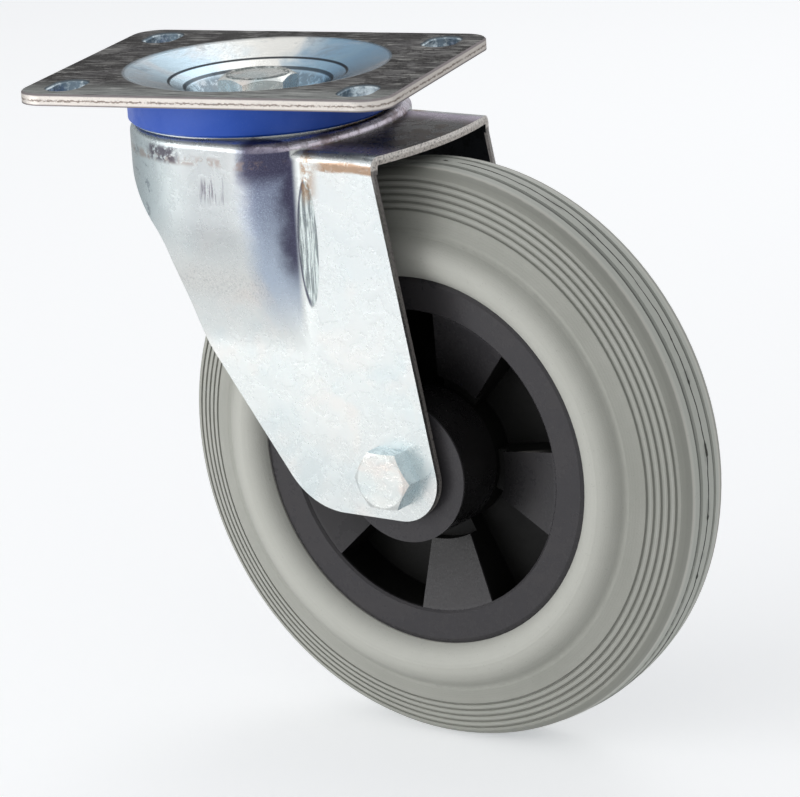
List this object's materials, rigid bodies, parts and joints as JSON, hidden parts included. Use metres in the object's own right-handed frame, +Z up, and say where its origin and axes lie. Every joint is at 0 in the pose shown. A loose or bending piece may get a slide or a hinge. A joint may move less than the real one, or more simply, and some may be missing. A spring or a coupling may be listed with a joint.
{
  "type": "swivel castor",
  "caption": "Swivel castor with a slotted mounting plate, a pressed steel fork turning on balls, and a roller-bearing wheel with a grey rubber tyre.",
  "frame": {"origin": "centre of the mounting plate's top face, on the swivel axis", "axes": "+Z up out of the plate, +X along the plate's short side, +Y along its long side; at rest the wheel trails 76.5 degrees from +X"},
  "size_m": [0.1153, 0.2342, 0.228],
  "materials": {
    "plate_zinc": "zinc plated, dull and brushed on top",
    "fork_zinc": "bright zinc plated pressed steel",
    "bolt_zinc": "bright zinc plated steel",
    "cup_zinc": "zinc plated pressed steel",
    "sleeve_steel": "plain steel",
    "ball_steel": "hardened steel",
    "nut_nylon": "natural nylon",
    "blue_plastic": "satin blue plastic",
    "washer_plastic": "black plastic",
    "cage_plastic": "plain plastic",
    "black_plastic": "semi-gloss black plastic",
    "grey_rubber": "matte grey rubber"
  },
  "bodies": {
    "head": {"top_plate": "plate_zinc", "king_bolt": "bolt_zinc", "king_washer": "bolt_zinc", "king_nut": "bolt_zinc", "king_nut_insert": "nut_nylon", "lower_race_cup": "cup_zinc"},
    "fork_group": {"fork": "fork_zinc", "dust_ring": "blue_plastic", "axle_bolt": "bolt_zinc", "axle_washer": "bolt_zinc", "axle_nut": "bolt_zinc", "axle_nut_insert": "nut_nylon", "axle_sleeve": "sleeve_steel", "thrust_washer_head_side": "washer_plastic", "thrust_washer_nut_side": "washer_plastic"},
    "wheel": {"rim": "black_plastic", "tyre": "grey_rubber", "hub_cap_head_side": "black_plastic", "hub_cap_nut_side": "black_plastic"},
    "upper_ball_set": {"upper_balls": "ball_steel"},
    "lower_ball_set": {"lower_balls": "ball_steel"},
    "roller_set": {"rollers": "ball_steel", "roller_cage": "cage_plastic"}
  },
  "joints": [
    {"name": "swivel", "type": "hinge", "parent": "head", "child": "fork_group", "pos_m": [0, 0, 0], "axis": [0, 0, 1], "continuous": true},
    {"name": "wheel_spin", "type": "hinge", "parent": "fork_group", "child": "wheel", "pos_m": [0.01657, 0.06904, -0.128], "axis": [-0.9724, 0.2334, 0], "continuous": true},
    {"name": "upper_ball_orbit", "type": "hinge", "parent": "head", "child": "upper_ball_set", "pos_m": [0, 0, 0], "axis": [0, 0, 1], "continuous": true},
    {"name": "lower_ball_orbit", "type": "hinge", "parent": "head", "child": "lower_ball_set", "pos_m": [0, 0, 0], "axis": [0, 0, 1], "continuous": true},
    {"name": "roller_orbit", "type": "hinge", "parent": "fork_group", "child": "roller_set", "pos_m": [0.01657, 0.06904, -0.128], "axis": [-0.9724, 0.2334, 0], "continuous": true}
  ],
  "couplings": [
    {"joint": "upper_ball_orbit", "follows": "swivel", "ratio": 0.5},
    {"joint": "lower_ball_orbit", "follows": "swivel", "ratio": 0.5},
    {"joint": "roller_orbit", "follows": "wheel_spin", "ratio": 0.6}
  ]
}
